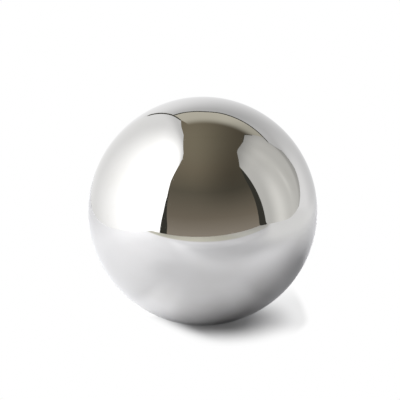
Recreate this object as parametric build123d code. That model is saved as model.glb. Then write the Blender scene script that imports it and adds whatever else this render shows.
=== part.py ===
from build123d import *

import os

# A solid steel ball, ground and lapped to a mirror finish.
# It is one piece of hardened steel all the way through, with no flat, hole, seam or plating layer,
# so its whole form is a true sphere and its finish is the only other thing about it.
# The origin is the centre of the ball, from which every ball is measured. +Z is up.

# Driving dimension, in millimetres: the nominal diameter, one and a half inches
BALL_DIAMETER = 38.1

# The folder for the finished piece, beside this script
PARTS_FOLDER = "parts"


def steel_ball():
    """The ball itself, centred on the origin."""
    ball = Sphere(radius=BALL_DIAMETER / 2)
    ball.label = "steel_ball"
    return ball


def main():
    os.makedirs(PARTS_FOLDER, exist_ok=True)
    for piece in [steel_ball()]:
        export_step(piece, os.path.join(PARTS_FOLDER, f"{piece.label}.step"))


if __name__ == "__main__":
    main()
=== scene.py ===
# %% [markdown]
# # A mirror-polished steel ball
#
# The part is one solid steel ball, ground and lapped until it is a mirror all over.
# A mirror has next to no colour of its own: what we see on it is the place round it, bent into a disc.
# So this lesson has two halves. First comes a ball that is truly round, with the finish that lapping leaves.
# Then comes a small light tent for it to reflect, because steel in an empty scene looks like grey plastic.

# %% Load the frame
import math

import bpy
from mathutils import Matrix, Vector


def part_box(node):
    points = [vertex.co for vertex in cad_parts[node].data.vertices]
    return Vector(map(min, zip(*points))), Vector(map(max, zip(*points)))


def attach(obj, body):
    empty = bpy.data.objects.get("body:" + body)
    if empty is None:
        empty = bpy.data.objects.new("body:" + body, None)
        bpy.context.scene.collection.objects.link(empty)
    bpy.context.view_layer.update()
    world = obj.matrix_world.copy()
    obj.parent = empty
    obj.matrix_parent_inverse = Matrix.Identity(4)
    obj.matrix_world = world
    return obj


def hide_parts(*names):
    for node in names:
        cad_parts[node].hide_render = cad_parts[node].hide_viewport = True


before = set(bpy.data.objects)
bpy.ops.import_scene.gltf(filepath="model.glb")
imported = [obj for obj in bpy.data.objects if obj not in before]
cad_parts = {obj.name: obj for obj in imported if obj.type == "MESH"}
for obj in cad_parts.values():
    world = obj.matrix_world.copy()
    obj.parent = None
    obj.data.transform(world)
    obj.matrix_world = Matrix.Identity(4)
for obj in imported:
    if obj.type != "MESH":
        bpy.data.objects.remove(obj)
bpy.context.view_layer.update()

low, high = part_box("steel_ball")
RADIUS = (high.z - low.z) / 2
print(f"the ball is {2000 * RADIUS:.2f} mm across, centred on the origin")

# %% [markdown]
# ## The camera
#
# A ball shows how far away the camera stood only through its reflection, so a long lens from a fair distance
# is a safe choice: it keeps the outline a true circle. The camera looks a little down, which is why the lower
# half of the ball mirrors the floor. We could shift the lens to move the ball in the picture, but the shift
# would stay in every other view, so the camera is turned instead: it looks at a point slightly above and left
# of the ball's centre.

# %% Camera
CAMERA_ELEVATION = math.radians(16.5)
CAMERA_DISTANCE = 11 * RADIUS
LENS, SENSOR = 112.8, 36
IMAGE_SIDE = 400
BALL_PIXEL = (202.8, 210.9)

from_ball = Vector((0, -math.cos(CAMERA_ELEVATION), math.sin(CAMERA_ELEVATION)))
picture_right = Vector((1, 0, 0))
picture_up = Vector((0, math.sin(CAMERA_ELEVATION), math.cos(CAMERA_ELEVATION)))
pixel = CAMERA_DISTANCE * SENSOR / LENS / IMAGE_SIDE
aim = picture_right * (IMAGE_SIDE / 2 - BALL_PIXEL[0]) * pixel
aim += picture_up * (BALL_PIXEL[1] - IMAGE_SIDE / 2) * pixel

bpy.ops.object.camera_add(location=from_ball * CAMERA_DISTANCE)
camera = bpy.context.object
camera.rotation_euler = (aim - camera.location).to_track_quat("-Z", "Y").to_euler()
camera.data.lens, camera.data.sensor_width = LENS, SENSOR
camera.data.clip_start, camera.data.clip_end = RADIUS / 10, RADIUS * 200
bpy.context.scene.camera = camera
print(f"camera {1000 * CAMERA_DISTANCE:.0f} mm from the ball, one pixel is {1000 * pixel:.3f} mm on it")

# %% [markdown]
# ## The ball
#
# On the real thing, lapping between grooved plates rolls the ball in every direction until no point stands
# out. A UV sphere would be quick, but it has two poles where thin triangles meet, and a mirror shows every
# one. A cube that is subdivided and then cast onto a sphere has only even quads, with no pole anywhere.
# Six levels give about 25 thousand faces, and each normal then points straight out from the centre.

# %% Ball
SUBDIVISIONS = 6


def deselect():
    bpy.ops.object.select_all(action="DESELECT")


def apply_modifier(piece, name, kind, **settings):
    modifier = piece.modifiers.new(name, kind)
    for setting, value in settings.items():
        setattr(modifier, setting, value)
    bpy.ops.object.modifier_apply(modifier=name)


deselect()
bpy.ops.mesh.primitive_cube_add(size=2 * RADIUS)
ball = bpy.context.object
ball.name = "lapped_ball"
apply_modifier(ball, "even_quads", "SUBSURF", levels=SUBDIVISIONS, render_levels=SUBDIVISIONS)
round_settings = {"cast_type": "SPHERE", "factor": 1, "radius": RADIUS, "use_radius_as_size": True}
apply_modifier(ball, "true_round", "CAST", **round_settings)
bpy.ops.object.shade_smooth()

distances = [1000 * vertex.co.length for vertex in ball.data.vertices]
print(f"{len(ball.data.polygons)} quads, radius {min(distances):.4f} to {max(distances):.4f} mm")

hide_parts("steel_ball")
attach(ball, "root")

# %% [markdown]
# ## Arithmetic on sockets
#
# The finish is described by a few sums, such as a base roughness plus a share of a smear mask. In the node
# editor each sum is a Math node, and in code it is easier to read as a sum. This class wraps one output
# socket, so that plus, minus, times and power add the nodes for us. between() is a soft step from 0 to 1.
# Every other kind of node comes from its one method, node().

# %% Sockets as numbers
class Wire:
    def __init__(self, socket):
        self.socket = socket

    @staticmethod
    def node(tree, kind, settings=None, sockets=None, output=0):
        made = tree.nodes.new(kind)
        for name, value in (settings or {}).items():
            if name == "stops":
                ramp = made.color_ramp.elements
                while len(ramp) < len(value):
                    ramp.new(0.5)
                for element, (place, colour) in zip(ramp, value):
                    element.position, element.color = place, (*colour, 1)
            else:
                setattr(made, name, value)
        for name, value in (sockets or {}).items():
            if isinstance(value, Wire):
                tree.links.new(value.socket, made.inputs[name])
            else:
                made.inputs[name].default_value = value
        return Wire(made.outputs[output]) if made.outputs else None

    def beside(self, kind, settings, sockets, output=0):
        return Wire.node(self.socket.id_data, kind, settings, sockets, output)

    def maths(self, operation, first, second):
        return self.beside("ShaderNodeMath", {"operation": operation}, {0: first, 1: second})

    def __add__(self, other):
        return self.maths("ADD", self, other)

    def __mul__(self, other):
        return self.maths("MULTIPLY", self, other)

    def __sub__(self, other):
        return self.maths("SUBTRACT", self, other)

    def __rsub__(self, other):
        return self.maths("SUBTRACT", other, self)

    def __pow__(self, other):
        return self.maths("POWER", self, other)

    __radd__ = __add__
    __rmul__ = __mul__

    def between(self, start, end):
        steps = {"interpolation_type": "SMOOTHSTEP"}
        return self.beside("ShaderNodeMapRange", steps, {"Value": self, "From Min": start, "From Max": end})

    def mixed(self, first, second):
        ends = {0: self, 6: (*first, 1), 7: (*second, 1)}
        return self.beside("ShaderNodeMix", {"data_type": "RGBA"}, ends, 2)

    def tinting(self, colour):
        return self.beside("ShaderNodeVectorMath", {"operation": "SCALE"}, {0: colour, "Scale": self})

    def axis(self, letter):
        return self.beside("ShaderNodeSeparateXYZ", {}, {0: self}, letter)


print("sockets now add, subtract, multiply and take powers")

# %% [markdown]
# ## The finish
#
# Polished steel is a metal with a slightly warm grey face-on reflectance, near 0.64, and a roughness close
# to zero. A perfectly even mirror looks like a computer's idea of steel. The real ball has been handled and
# wiped: a thin film of oil dulls it in soft patches, a cloth leaves faint streaks, and a few hairlines from
# lapping catch the light. All three are kept far below what the eye names, and they change only colour and
# roughness. A bump is left out on purpose, because even a tiny one bends the reflection, and then the ball no
# longer looks round.

# %% Polished steel
CLEAN_STEEL, FILMED_STEEL = (0.655, 0.65, 0.64), (0.625, 0.618, 0.60)
LAPPED_ROUGHNESS = 0.018
FILM_ROUGHNESS, STREAK_ROUGHNESS, HAIRLINE_ROUGHNESS = 0.022, 0.014, 0.10
FILM_SHARE, STREAK_SHARE = 0.7, 0.3
# How each pattern is turned, how often it repeats in a metre along it and across it, and which part shows
FILM_TURN, FILM_SCALE, FILM_STEP = (0.4, 0.2, 0.0), (110, 90, 100), (0.45, 0.75)
STREAK_TURN, STREAK_SCALE, STREAK_STEP = (0.5, 0.9, 0.3), (60, 900, 900), (0.5, 0.8)
HAIRLINE_TURN, HAIRLINE_SCALE, HAIRLINE_STEP = (1.1, 0.3, 2.0), (90, 9000, 9000), (0.70, 0.74)
CROSSING_TURN, CROSSING_SCALE = (2.2, 1.4, 0.6), (80, 9000, 9000)
FILM_DETAIL, LINE_DETAIL = 3.0, 2.0

steel = bpy.data.materials.new("mirror_polished_steel")
steel.use_nodes = True
tree = steel.node_tree
shader = tree.nodes["Principled BSDF"]
place = Wire.node(tree, "ShaderNodeTexCoord", output="Object")


def stretched_noise(turn, scale, detail=LINE_DETAIL):
    turned = place.beside("ShaderNodeMapping", {}, {"Vector": place, "Rotation": turn, "Scale": scale})
    return place.beside("ShaderNodeTexNoise", {}, {"Vector": turned, "Scale": 1.0, "Detail": detail}, "Fac")


oil_film = stretched_noise(FILM_TURN, FILM_SCALE, FILM_DETAIL).between(*FILM_STEP)
cloth_streaks = stretched_noise(STREAK_TURN, STREAK_SCALE).between(*STREAK_STEP)
hairlines = stretched_noise(HAIRLINE_TURN, HAIRLINE_SCALE).between(*HAIRLINE_STEP)
crossing_hairlines = stretched_noise(CROSSING_TURN, CROSSING_SCALE).between(*HAIRLINE_STEP)

roughness = LAPPED_ROUGHNESS + FILM_ROUGHNESS * oil_film + STREAK_ROUGHNESS * cloth_streaks
roughness = roughness + HAIRLINE_ROUGHNESS * (hairlines + crossing_hairlines)
tint = (FILM_SHARE * oil_film + STREAK_SHARE * cloth_streaks).mixed(CLEAN_STEEL, FILMED_STEEL)
tree.links.new(roughness.socket, shader.inputs["Roughness"])
tree.links.new(tint.socket, shader.inputs["Base Color"])
shader.inputs["Metallic"].default_value = 1.0
ball.data.materials.clear()
ball.data.materials.append(steel)
print(f"steel has {len(tree.nodes)} nodes")

# %% [markdown]
# ## The floor
#
# The ball lies on a sheet of white paper. A plane at the height of the ball's lowest point touches it in one
# place, as a table does. An endless floor would be simpler, but the steel mirrors the front edge of the
# sheet, so the plane ends there. Its front corners are moved, because a sheet that was laid by hand lies a
# little turned.

# %% Paper floor
FLOOR = -RADIUS
FLOOR_SIDE = 36 * RADIUS
FRONT_EDGE = -8.1 * RADIUS
FRONT_TURN = math.radians(11)

deselect()
bpy.ops.mesh.primitive_plane_add(size=FLOOR_SIDE, location=(0, FRONT_EDGE + FLOOR_SIDE / 2, FLOOR))
floor = bpy.context.object
floor.name = "paper_floor"
bpy.ops.object.transform_apply(location=True)
for vertex in floor.data.vertices:
    if vertex.co.y < 0:
        vertex.co.y -= vertex.co.x * math.tan(FRONT_TURN)
print(f"paper floor, {1000 * FLOOR_SIDE:.0f} mm wide")

# %% [markdown]
# ## Painted light and shade on the paper
#
# The lower half of the ball mirrors the paper, and there the paper is never one flat white: it shows soft
# patches of light and shade. A sheet bent into a shallow wave would catch the light that way, but bending the
# plane would move the shadow and the front edge too, so each patch is painted as a soft ridge in the paper's
# brightness instead. All places are in ball radii: a ridge has a middle and a half width, and a step has a
# start and an end.

# %% Soft patches
# How much painted light or shade each patch adds, as a share of the paper's brightness
BAND_LIGHT, BAND_SHADE, POOL_LIGHT, BESIDE_LIGHT, PATCH_SHADE, APRON_LIGHT = 0.14, 0.13, 0.2, 0.25, 0.09, 0.1
BAND_SLOPE, BAND_LIGHT_RIDGE, BAND_SHADE_RIDGE = 0.86, (1.86, 0.9), (4.06, 2.0)
BAND_BACK, BAND_FRONT = (-1.4, -2.2), (-4.9, -4.0)
POOL_SLOPE, POOL_RIDGE, POOL_ACROSS = 0.55, (-2.15, 1.1), (2.3, 2.2)
BESIDE_IN, BESIDE_OUT, BESIDE_AWAY = (0, 0.17), (0.7, 0.35), (-0.55, 0.85)
PATCH_ACROSS, PATCH_AWAY = (-0.95, 0.6), (-1.6, 0.7)
APRON_BACK, APRON_FRONT, APRON_LEFT = (-3.3, -4.0), (-5.4, -4.8), (-1.6, -0.8)


def ridge(place, middle, half_width):
    return place.between(middle - half_width, middle) * place.between(middle + half_width, middle)


def painted_light_and_shade(across, away):
    # Painted light and shade: slanting bands, a pool of light, light beside the ball, a shaded patch, a
    # lighter front strip
    slant = across - BAND_SLOPE * away
    slanted_bands = BAND_LIGHT * ridge(slant, *BAND_LIGHT_RIDGE) - BAND_SHADE * ridge(slant, *BAND_SHADE_RIDGE)
    slanted_bands = slanted_bands * away.between(*BAND_BACK) * away.between(*BAND_FRONT)
    light_pool = POOL_LIGHT * ridge(away - POOL_SLOPE * across, *POOL_RIDGE) * ridge(across, *POOL_ACROSS)
    sideways = across * across
    beside_ball = BESIDE_LIGHT * sideways.between(*BESIDE_IN) * sideways.between(*BESIDE_OUT)
    beside_ball = beside_ball * ridge(away, *BESIDE_AWAY)
    shade_patch = PATCH_SHADE * ridge(across, *PATCH_ACROSS) * ridge(away, *PATCH_AWAY)
    apron = APRON_LIGHT * away.between(*APRON_BACK) * away.between(*APRON_FRONT) * across.between(*APRON_LEFT)
    return slanted_bands + light_pool + beside_ball - shade_patch + apron


print("a wave, a crest, two light spots, a dip and an apron")

# %% [markdown]
# ## The paper in the steel
#
# A plain white would do for the sheet itself, but past the lip at its front it turns cream, and it dims
# towards the back left. Paper that is lit plainly looks grey in steel, so rays from the steel see it a little
# brighter. Light that has bounced off the paper once stops there, because between white walls it would bounce
# on and fill the shadow.

# %% Paper in the steel
PAPER_COLOUR, LIP_COLOUR = (0.85, 0.853, 0.875), (0.76, 0.74, 0.64)
MIRRORED_LIFT = 1.3
CLOUD_SCALE, CLOUD_SHARE = 0.55, 0.1
LIP_STEP, LIP_DARK, LIP_LEFT = (-5.0, -5.6), 0.3, (0, -4)
FAR_DARK, FAR_STEP = 0.12, (3, 6)


def ray_kind(tree, name):
    return Wire.node(tree, "ShaderNodeLightPath", output=name)


def place_in_radii(tree):
    place = Wire.node(tree, "ShaderNodeTexCoord", output="Object")
    return place.beside("ShaderNodeVectorMath", {"operation": "SCALE"}, {0: place, "Scale": 1 / RADIUS})


paper = bpy.data.materials.new("white_paper")
paper.use_nodes = True
tree = paper.node_tree
tree.nodes.clear()
camera_ray, glossy_ray = ray_kind(tree, "Is Camera Ray"), ray_kind(tree, "Is Glossy Ray")
not_bounced = ray_kind(tree, "Diffuse Depth").between(1, 0)
spot = place_in_radii(tree)
across, away = spot.axis("X"), spot.axis("Y")
clouds = spot.beside("ShaderNodeTexNoise", {}, {"Vector": spot, "Scale": CLOUD_SCALE, "Detail": 1.0}, "Fac")
lip = away.between(*LIP_STEP)
shade = FAR_DARK * (away - across).between(*FAR_STEP) + LIP_DARK * lip * across.between(*LIP_LEFT)
# The painted patches of light and shade are added to the paper's brightness here
brightness = 1 - CLOUD_SHARE / 2 + CLOUD_SHARE * clouds + painted_light_and_shade(across, away) - shade
lift = (1 + (MIRRORED_LIFT - 1) * glossy_ray) * not_bounced
colour = (lift * brightness).tinting(lip.mixed(PAPER_COLOUR, LIP_COLOUR))
matt = colour.beside("ShaderNodeBsdfDiffuse", {}, {"Color": colour})
print(f"lit paper has {len(tree.nodes)} nodes")

# %% [markdown]
# ## The paper round the shadow
#
# In a studio picture the paper burns out to white, and only the shadow under the ball stays. More light
# would do that, but it would burn out the ball as well. So a ray from the camera sees the plainly lit paper
# only where the shadow lies, and pure white elsewhere. The mask follows the shadow: it is short on the lamp's
# side, where it keeps close to the ball, and ends on the far side in a pale rounded tip. In the steel, the
# paper takes up some white towards the right, where light comes through the cloth.

# %% Paper round the shadow
NEAR_SHARE, FAR_SHARE, RIGHT_SHARE = 0.92, 0.22, 0.88
SHADOW_MIDDLE, SHADOW_STEP = 0.18, (0.71, 0.21)
LAMP_SIDE_STRETCH, LAMP_SIDE_SLOPE, LAMP_SIDE_STEP = 0.4, 0.74, (-0.52, -0.22)
TIP_BACK_CURVE, TIP_FRONT_CURVE = 0.12, 0.8
TIP_START, TIP_END, TIP_FRONT, TIP_BACK = (0.42, 0.75), (0.97, 0.89), (-0.5, -0.1), (1.0, 0.3)
RIGHT_STEP, RIGHT_SLOPE, RIGHT_AWAY, RIGHT_FRONT_SHARE = (1.8, 4.8), 0.4, (-2, 0), 0.33

beyond = across - SHADOW_MIDDLE
beyond = beyond.maths("MAXIMUM", beyond, LAMP_SIDE_STRETCH * beyond)
depth = away.maths("ABSOLUTE", away, 0)
reach = (beyond * beyond + depth * depth) ** 0.5
lamp_side = (across - LAMP_SIDE_SLOPE * depth).between(*LAMP_SIDE_STEP)
near_shadow = reach.between(*SHADOW_STEP) * lamp_side

nearer = away.maths("MINIMUM", away, 0)
tip = across + TIP_BACK_CURVE * away * away + TIP_FRONT_CURVE * nearer * nearer
far_shadow = across.between(*TIP_START) * tip.between(*TIP_END)
far_shadow = far_shadow * away.between(*TIP_FRONT) * away.between(*TIP_BACK)

seen_white = 1 - NEAR_SHARE * near_shadow - FAR_SHARE * far_shadow
right_back = (away + RIGHT_SLOPE * across).between(*RIGHT_AWAY)
right_white = RIGHT_FRONT_SHARE + (1 - RIGHT_FRONT_SHARE) * right_back
right_white = RIGHT_SHARE * across.between(*RIGHT_STEP) * right_white
whiteness = seen_white * camera_ray + right_white * glossy_ray
white = colour.beside("ShaderNodeEmission", {}, {"Color": (1, 1, 1, 1), "Strength": 1.0})
both = colour.beside("ShaderNodeMixShader", {}, {0: whiteness, 1: matt, 2: white})
both.beside("ShaderNodeOutputMaterial", {}, {"Surface": both})
floor.data.materials.append(paper)
print(f"paper has {len(tree.nodes)} nodes")

# %% [markdown]
# ## The light tent
#
# Shiny things are photographed in a tent of white cloth, because a small lamp would show as a hard spot.
# Area lamps could stand in for the cloth, but they are even all over, and the ball would show plain white
# slabs. So the tent is made of sheets that glow. Each starts as a filled circle with as many points as the
# sheet has corners. The points are moved to the corners, Bevel rounds them, and the sheet is stood up where
# it hangs. Its glow is a sum of soft steps along it and up it, and a cover can fade the sheet out at an edge.
# The sheets are there for the steel alone: the camera doesn't see them, and they neither light the paper nor
# shade it. All lengths are in ball radii.

# %% Cloth helpers
BEVEL_SEGMENTS = 8


def glowing_cloth(name, tint, levels, cover=None):
    made = bpy.data.materials.new(name)
    made.use_nodes = True
    tree = made.node_tree
    tree.nodes.clear()
    spot = place_in_radii(tree)
    along, up = spot.axis("X"), spot.axis("Y")
    not_bounced = ray_kind(tree, "Diffuse Depth").between(1, 0)
    glow = (levels(along, up) * not_bounced).tinting(tint)
    surface = glow.beside("ShaderNodeEmission", {}, {"Color": glow, "Strength": 1.0})
    if cover:
        clear = glow.beside("ShaderNodeBsdfTransparent", {}, {})
        surface = glow.beside("ShaderNodeMixShader", {}, {0: cover(along, up), 1: clear, 2: surface})
    surface.beside("ShaderNodeOutputMaterial", {}, {"Surface": surface})
    return made


def hang_cloth(name, corners, rounding, material, start, heading=0, lean=0):
    deselect()
    bpy.ops.mesh.primitive_circle_add(vertices=len(corners), fill_type="NGON")
    cloth = bpy.context.object
    cloth.name = name
    for vertex, (along, up) in zip(cloth.data.vertices, corners):
        vertex.co = Vector((along, up, 0)) * RADIUS
    bpy.ops.object.mode_set(mode="EDIT")
    bpy.ops.mesh.select_all(action="SELECT")
    corner_size = rounding * RADIUS
    bpy.ops.mesh.bevel(offset=corner_size, segments=BEVEL_SEGMENTS, affect="VERTICES", clamp_overlap=True)
    bpy.ops.object.mode_set(mode="OBJECT")
    cloth.rotation_euler = (math.radians(90) - lean, 0, heading)
    cloth.location = Vector(start) * RADIUS
    cloth.data.materials.append(material)
    cloth.visible_camera = False
    cloth.visible_diffuse = False
    cloth.visible_shadow = False
    print(f"{name} hangs, {len(cloth.data.vertices)} points round")
    return cloth


print("ready to hang cloth")

# %% [markdown]
# ## The dark lines
#
# The steel shows thin dark lines along some seams and edges of the tent, and some of them are painted
# shade. A texture could draw them too, but the lines have to follow the outline of each sheet. So a sheet is
# inset by the width of its line, and those border faces that lie on a dark seam get the dark material.

# %% Dark lines
DARK_LINE_LEVEL = 0.05
DARK_LINE_TINT = (1, 0.98, 0.8)


def dark_line_levels(along, up):
    return DARK_LINE_LEVEL


# A faint dark glow for the lines; at the right cloth's front and beside the back paper it is painted shade
dark_line = glowing_cloth("dark_line_glow", DARK_LINE_TINT, dark_line_levels)


def darken_border(cloth, width, is_darkened):
    cloth.data.materials.append(dark_line)
    bpy.ops.object.mode_set(mode="EDIT")
    bpy.ops.mesh.select_all(action="SELECT")
    bpy.ops.mesh.inset(thickness=width * RADIUS)
    bpy.ops.object.mode_set(mode="OBJECT")
    border = [face for face in cloth.data.polygons if not face.select]
    for face in border:
        if is_darkened(face.center.x / RADIUS, face.center.y / RADIUS):
            face.material_index = 1
    print(f"{cloth.name} has {sum(face.material_index for face in border)} bound edges of {len(border)}")


print(f"binding glows at {DARK_LINE_LEVEL}")

# %% [markdown]
# ## The left cloth
#
# The lamp stands behind this cloth, so it is the brightest sheet, and its middle burns out to white. A round
# gradient would look like a ball of light. The distance from the middle is measured in a stretched plane
# instead, which spreads the light along the cloth and leans it upwards. Only the seam with the roof gets a
# dark line, and a dark strip behind the front end is the edge of the opening.

# %% Left cloth
LEFT_START, LEFT_HEADING = Vector((-2.6, 7.2, 0)), math.atan2(-17.5, -5.8)
LEFT_CORNERS = [
    (0.2, -4), (17, -4), (19.1, 3), (19.3, 7), (18.1, 11), (17.9, 19.3), (16.8, 23.6), (14.2, 23.7),
    (10, 20.3), (5.4, 17.1), (2.9, 13), (1.1, 11), (0.62, 7.2), (0.28, 2.75), (0.25, 2.4),
]
LEFT_EDGE = [(15.5, -4), (23, -4), (24, 0), (22.4, 3), (21, 6), (20.2, 9.5), (19.5, 6)]
LEFT_ROUNDING, EDGE_ROUNDING = 1.2, 0.4
LEFT_LINE_WIDTH = 0.28
EDGE_GAP = Vector((0.1, 0, 0))
LEFT_LEVEL = 1.0
GLOW_ALONG, GLOW_UP, GLOW_STEP = 14, 8, (11.2, 4.6)
GLOW_STRETCH, GLOW_STRETCH_ABOVE, GLOW_LEAN = 0.58, 0.14, 0.2
CORNER_SHADE, CORNER_SLOPE, CORNER_STEP = 0.25, 1.6, (3, 7.5)
SEAM_ALONG, SEAM_UP = 2, 3


def left_levels(along, up):
    rise = up - GLOW_UP
    above = rise.maths("MAXIMUM", rise, 0)
    sideways = along - GLOW_LEAN * above - GLOW_ALONG
    upwards = GLOW_STRETCH * rise + GLOW_STRETCH_ABOVE * above
    reach = (sideways ** 2 + upwards ** 2) ** 0.5
    shade = CORNER_SHADE * (up - CORNER_SLOPE * along).between(*CORNER_STEP)
    return LEFT_LEVEL + reach.between(*GLOW_STEP) - shade


def on_roof_seam(along, up):
    return along < SEAM_ALONG and up > SEAM_UP


left_glow = glowing_cloth("left_glow", (1, 1, 1), left_levels)
left = hang_cloth("left_cloth", LEFT_CORNERS, LEFT_ROUNDING, left_glow, LEFT_START, LEFT_HEADING)
darken_border(left, LEFT_LINE_WIDTH, on_roof_seam)
hang_cloth("left_edge", LEFT_EDGE, EDGE_ROUNDING, dark_line, LEFT_START - EDGE_GAP, LEFT_HEADING)

# %% [markdown]
# ## The right cloth
#
# This cloth only catches the light that crosses the tent, so it is dimmer, and its folds show. Folds in the
# mesh would need a lamp to bring them out. Here each fold is a soft ridge of brightness along the cloth,
# which dies out as it rises. The cloth darkens towards the top and along the curve where it meets the back
# paper. Only its far top corner gets a dark line, and the dark strip along its front end is painted shade.

# %% Right cloth
RIGHT_START, RIGHT_HEADING = Vector((10, 0, 0)), math.radians(90)
RIGHT_CORNERS = [
    (-5.5, -0.55), (0, -0.86), (2, -0.53), (3.6, 0), (8, 2), (8, 8.5), (6.9, 14.5), (6.4, 17.5), (1.8, 17.4),
    (-1.4, 18.8), (-2.8, 18.7), (-6.6, 14.4), (-6.1, 7.5), (-5.6, 0.5),
]
RIGHT_EDGE = [(-7.3, -0.6), (-5.2, -0.6), (-5.5, 6), (-6.2, 14.2), (-7, 13), (-7.6, 10), (-7.4, 4.5)]
RIGHT_ROUNDING = 0.5
RIGHT_LINE_WIDTH = 0.3
RIGHT_TINT = (1, 0.99, 0.95)
RIGHT_LEVEL = 0.68
TOP_SHADE, TOP_STEP = 0.3, (10.5, 19)
BACK_SHADE, BACK_STEP = 0.1, (4, 7.5)
CURVE_SHADE, CURVE_WIDTH, CURVE_STEP = 0.15, 1.8, (0.7, 1.7)
FRONT_FOLD, FRONT_RIDGE, FRONT_LOSS, FRONT_FADE = 0.28, (-1.9, 2.6), 0.85, (2, 9)
MIDDLE_FOLD, MIDDLE_RIDGE, MIDDLE_LOSS, MIDDLE_FADE = 0.09, (1.0, 2.2), 0.8, (9, 14)
CREASE, CREASE_ALONG, CREASE_UP = 0.1, (1.4, 0.7), (3.5, 3)
BOUND_ALONG, BOUND_UP = 4, 12


def right_levels(along, up):
    base = RIGHT_LEVEL - TOP_SHADE * up.between(*TOP_STEP) - BACK_SHADE * along.between(*BACK_STEP)
    above_paper = up + 1
    curve_shade = CURVE_SHADE * (along - CURVE_WIDTH * above_paper ** 0.5).between(*CURVE_STEP)
    front_fold = FRONT_FOLD * ridge(along, *FRONT_RIDGE) * (1 - FRONT_LOSS * up.between(*FRONT_FADE))
    middle_fold = MIDDLE_FOLD * ridge(along, *MIDDLE_RIDGE) * (1 - MIDDLE_LOSS * up.between(*MIDDLE_FADE))
    crease = CREASE * ridge(along, *CREASE_ALONG) * ridge(up, *CREASE_UP)
    return base + front_fold + middle_fold + crease - curve_shade


def on_top_corner(along, up):
    return along > BOUND_ALONG and up > BOUND_UP


right_glow = glowing_cloth("right_glow", RIGHT_TINT, right_levels)
right = hang_cloth("right_cloth", RIGHT_CORNERS, RIGHT_ROUNDING, right_glow, RIGHT_START, RIGHT_HEADING)
darken_border(right, RIGHT_LINE_WIDTH, on_top_corner)
# The dark strip along the front end is painted shade
hang_cloth("right_edge", RIGHT_EDGE, EDGE_ROUNDING, dark_line, RIGHT_START + EDGE_GAP, RIGHT_HEADING)

# %% [markdown]
# ## The back paper
#
# The sheet behind the ball leans back, and the steel squeezes it into a narrow ring along its rim. Its foot
# fades out, as paper does that curves into the floor. Its dark lines are strips of their own, hung just in
# front of it: one along its top, and one of painted shade along its right side, where the right cloth meets
# it. An inset, as for the side cloths, would overshoot the outline at the thin right end of the sheet.

# %% Back paper
BACK_FOOT = [(-1.7, 2.1), (-1.7, -1.4), (15, -1.4), (13.6, -0.85), (10.5, -0.32)]
BACK_SIDE = [
    (8.66, 0.46), (7.3, 1.4), (6.7, 2.1), (6.9, 3.2), (7.05, 4.4), (7.8, 5.4), (8.7, 6.9), (9.45, 8.6),
]
BACK_TOP = [(9.9, 9.75), (8.3, 9.6), (3.1, 8.7), (1.7, 8.5), (0.3, 8.75), (-1.7, 7.8), (-2.5, 7.7)]
BACK_START, BACK_LEAN = Vector((0, 3.2, 0)), math.radians(20)
BACK_ROUNDING, LINE_ROUNDING = 0.4, 0.05
BACK_TINT = (1, 1, 1.01)
LINE_GAP = Vector((0, 0.02, 0))
TOP_LINE_WIDTH, SIDE_LINE_WIDTH = (0, -0.7), (-0.06, 0)
BACK_LEVEL = 1.02
RISE_SHADE, RISE_SLOPE, RISE_STEP = 0.36, 0.2, (1.8, 6.8)
HOLLOW_SHADE, HOLLOW_RIDGE, HOLLOW_LOSS, HOLLOW_FADE = 0.28, (2.5, 4), 0.18, (2, 6)
FOOT_STEP = (-1.1, -0.4)


def back_levels(along, up):
    rise_shade = RISE_SHADE * (up + RISE_SLOPE * along).between(*RISE_STEP)
    hollow_shade = HOLLOW_SHADE - HOLLOW_LOSS * up.between(*HOLLOW_FADE)
    return BACK_LEVEL - rise_shade - hollow_shade * ridge(along, *HOLLOW_RIDGE)


def back_cover(along, up):
    return up.between(*FOOT_STEP)


def hang_dark_line(name, outline, width):
    inner = [(along + width[0], up + width[1]) for along, up in reversed(outline)]
    hang_cloth(name, outline + inner, LINE_ROUNDING, dark_line, BACK_START - LINE_GAP, lean=BACK_LEAN)


back_corners = BACK_FOOT + BACK_SIDE + BACK_TOP
back_glow = glowing_cloth("back_glow", BACK_TINT, back_levels, back_cover)
hang_cloth("back_paper", back_corners, BACK_ROUNDING, back_glow, BACK_START, lean=BACK_LEAN)
hang_dark_line("back_top_line", BACK_TOP, TOP_LINE_WIDTH)
# The line along the right side is painted shade
hang_dark_line("back_side_shade_line", BACK_SIDE, SIDE_LINE_WIDTH)

# %% [markdown]
# ## The roof cloth
#
# A cream cloth hangs behind the back paper and closes the tent at the top. It could end in a hard line, but
# such a cloth curves away into the dark of the room, so its cover lets it fade out with height.

# %% Roof cloth
ROOF_CORNERS = [(-4, 6), (14, 6), (14, 26), (-4, 26)]
ROOF_START, ROOF_ROUNDING = (0, 8.5, 0), 0.5
ROOF_TINT = (1, 0.95, 0.8)
ROOF_LEVEL = 0.67
HEIGHT_SHADE, HEIGHT_STEP = 0.04, (8, 16)
SIDE_SHADE, SIDE_STEP = 0.13, (3.5, 8.5)
ROOF_SLOPE, ROOF_STEP = 0.1, (23.5, 14.5)


def roof_levels(along, up):
    return ROOF_LEVEL - HEIGHT_SHADE * up.between(*HEIGHT_STEP) - SIDE_SHADE * along.between(*SIDE_STEP)


def roof_cover(along, up):
    return (up + ROOF_SLOPE * along).between(*ROOF_STEP)


roof_glow = glowing_cloth("roof_glow", ROOF_TINT, roof_levels, roof_cover)
hang_cloth("roof_cloth", ROOF_CORNERS, ROOF_ROUNDING, roof_glow, ROOF_START)

# %% [markdown]
# ## The lamps
#
# The lamps light the paper. A sun would throw a hard shadow, so they are large discs, which throw soft ones.
# The key lamp on the left throws the shadow that darkens the lower right of the ball. A weaker one stands
# closer in on the same side, and the third shines low from far behind. The steel never shows the lamps
# themselves, only the cloth.

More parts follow.
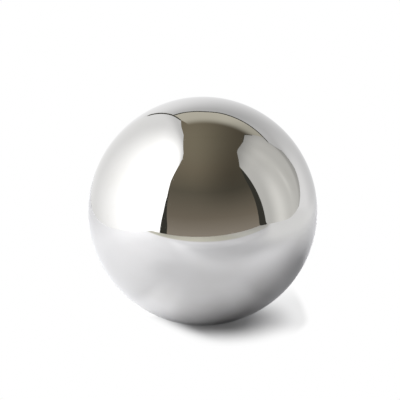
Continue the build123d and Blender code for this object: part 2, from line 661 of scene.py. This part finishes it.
# %% Lamps
def hang_lamp(name, place, size, power):
    bpy.ops.object.light_add(type="AREA", location=Vector(place) * RADIUS)
    lamp = bpy.context.object
    lamp.name = name
    lamp.data.shape, lamp.data.size, lamp.data.energy = "DISK", size * RADIUS, power
    lamp.rotation_euler = (-lamp.location).to_track_quat("-Z", "Y").to_euler()
    lamp.visible_camera = False
    lamp.visible_glossy = False
    print(f"{name}, {power} W")


hang_lamp("key_lamp", place=(-18.4, -4.9, 11), size=28.6, power=1.69)
hang_lamp("near_lamp", place=(-6.5, -1.7, 6), size=8.1, power=0.164)
hang_lamp("back_lamp", place=(0, 39.4, 6.9), size=52, power=7.3)

# %% [markdown]
# ## The room
#
# The world is what lies past the open front of the tent: a dim, warm room. It is the dark shape in the
# middle of the ball, and the steel would look like white plastic without it. A picture of a room could be
# wrapped round the scene, but bands of colour by height are enough for a plain one. Only the steel sees the
# room. Rays from the camera see white, and the paper gets a weak neutral light, so that its shadow stays
# grey.

# %% World
ROOM_COLOURS = [
    (0.42, (0.33, 0.29, 0.24)),
    (0.58, (0.20, 0.17, 0.13)),
    (0.78, (0.13, 0.115, 0.085)),
    (0.92, (0.20, 0.17, 0.12)),
    (1.0, (0.235, 0.205, 0.145)),
]
ROOM_LEVEL, ROOM_SHADE, ROOM_SIDE, ROOM_HEIGHT = 1.08, 0.58, (-0.2, 0.5), (0.1, 0.8)
AMBIENT, WHITE = (0.035, 0.035, 0.038, 1), (1, 1, 1, 1)

world = bpy.data.worlds.new("room")
bpy.context.scene.world = world
world.use_nodes = True
tree = world.node_tree
tree.nodes.clear()
way = Wire.node(tree, "ShaderNodeTexCoord", output="Generated")
height, side = way.axis("Z"), way.axis("X")
room = way.beside("ShaderNodeValToRGB", {"stops": ROOM_COLOURS}, {"Fac": height * 0.5 + 0.5})
dark_side = ROOM_SHADE * side.between(*ROOM_SIDE) * height.between(*ROOM_HEIGHT)
room = (ROOM_LEVEL - dark_side).tinting(room)
camera_ray, glossy_ray = ray_kind(tree, "Is Camera Ray"), ray_kind(tree, "Is Glossy Ray")
seen = way.beside("ShaderNodeMix", {"data_type": "RGBA"}, {0: glossy_ray, 6: AMBIENT, 7: room}, 2)
seen = way.beside("ShaderNodeMix", {"data_type": "RGBA"}, {0: camera_ray, 6: seen, 7: WHITE}, 2)
sky = way.beside("ShaderNodeBackground", {}, {"Color": seen, "Strength": 1.0})
sky.beside("ShaderNodeOutputWorld", {}, {"Surface": sky})
print("dim room, white to the camera")

# %% [markdown]
# ## The view
#
# The Standard view shows each colour as it is written, while a filmic view would grey the white paper.

# %% Finish
bpy.context.scene.view_settings.view_transform = "Standard"
